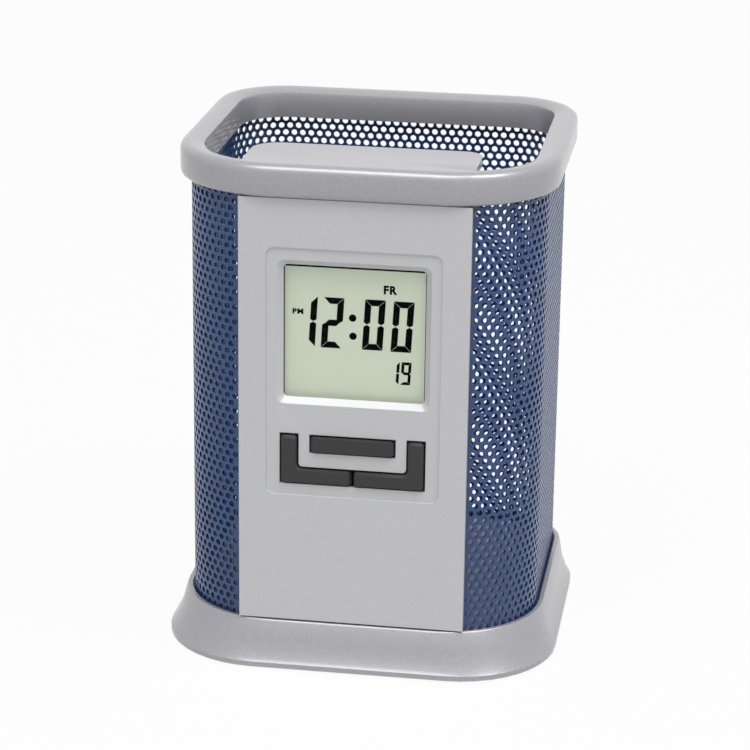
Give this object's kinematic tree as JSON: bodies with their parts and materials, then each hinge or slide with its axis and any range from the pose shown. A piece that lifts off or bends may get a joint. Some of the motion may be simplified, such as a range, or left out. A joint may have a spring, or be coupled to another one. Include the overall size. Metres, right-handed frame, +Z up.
{
  "type": "pen holder clock",
  "caption": "Desk pen holder: perforated steel cup between a moulded rim and a flared base, with a digital clock, its keys and a sliding battery door in its front unit.",
  "frame": {"origin": "on the table, under the middle of the holder's outer box", "axes": "+Z up, -Y out of the clock's face towards its reader, +X to that reader's right"},
  "size_m": [0.0862, 0.0806, 0.112],
  "materials": {
    "silver_paint": "satin silver paint on moulded plastic",
    "panel_silver": "fine-grained silver paint on moulded plastic",
    "navy_enamel": "satin enamel on perforated steel sheet",
    "key_plastic": "matte",
    "case_plastic": "matte",
    "rubber": "matte",
    "clear_acrylic": "clear and polished",
    "display_glass": "grey-green reflective display",
    "white_plastic": "matte",
    "board_laminate": "solder mask on glass laminate",
    "black_epoxy": "poured resin",
    "steel": "bright plated",
    "brass": "plain sheet",
    "red_sleeve": "wire sleeve",
    "black_sleeve": "wire sleeve"
  },
  "bodies": {
    "holder": {"base_shell": "silver_paint", "base_plate": "case_plastic", "foot_pad_left_front": "rubber", "foot_pad_left_rear": "rubber", "foot_pad_right_front": "rubber", "foot_pad_right_rear": "rubber", "base_screw_left_front": "steel", "base_screw_left_rear": "steel", "base_screw_right_front": "steel", "base_screw_right_rear": "steel", "mesh_wall": "navy_enamel", "top_rim": "silver_paint", "rim_screw_left": "steel", "rim_screw_right": "steel", "front_panel": "panel_silver", "key_dome_bar": "steel", "key_dome_left": "steel", "key_dome_right": "steel", "window_lens": "clear_acrylic", "display_glass": "display_glass", "display_frame": "white_plastic", "contact_strip_low": "rubber", "contact_strip_high": "rubber", "circuit_board": "board_laminate", "board_screw_left_low": "steel", "board_screw_left_high": "steel", "board_screw_right_low": "steel", "board_screw_right_high": "steel", "chip_cover": "black_epoxy", "crystal_can": "steel", "clock_case": "case_plastic", "case_screw_left_low": "steel", "case_screw_left_high": "steel", "case_screw_right_low": "steel", "case_screw_right_high": "steel", "case_foot_screw_left": "steel", "case_foot_screw_right": "steel", "button_cell": "steel", "cell_leaf": "brass", "cell_side_strip": "brass", "buzzer_disc": "brass", "buzzer_wire_red": "red_sleeve", "buzzer_wire_black": "black_sleeve"},
    "bar_key": {"key_bar": "key_plastic"},
    "left_key": {"key_left": "key_plastic"},
    "right_key": {"key_right": "key_plastic"},
    "door": {"battery_door": "case_plastic"}
  },
  "joints": [
    {"name": "bar_key_press", "type": "slide", "parent": "holder", "child": "bar_key", "axis": [0, 1, 0], "range_m": [0, 0.0007], "stiffness_N_per_m": 1500},
    {"name": "left_key_press", "type": "slide", "parent": "holder", "child": "left_key", "axis": [0, 1, 0], "range_m": [0, 0.0007], "stiffness_N_per_m": 1500},
    {"name": "right_key_press", "type": "slide", "parent": "holder", "child": "right_key", "axis": [0, 1, 0], "range_m": [0, 0.0007], "stiffness_N_per_m": 1500},
    {"name": "battery_door_slide", "type": "slide", "parent": "holder", "child": "door", "axis": [0, 0, -1], "range_m": [0, 0.018]}
  ]
}
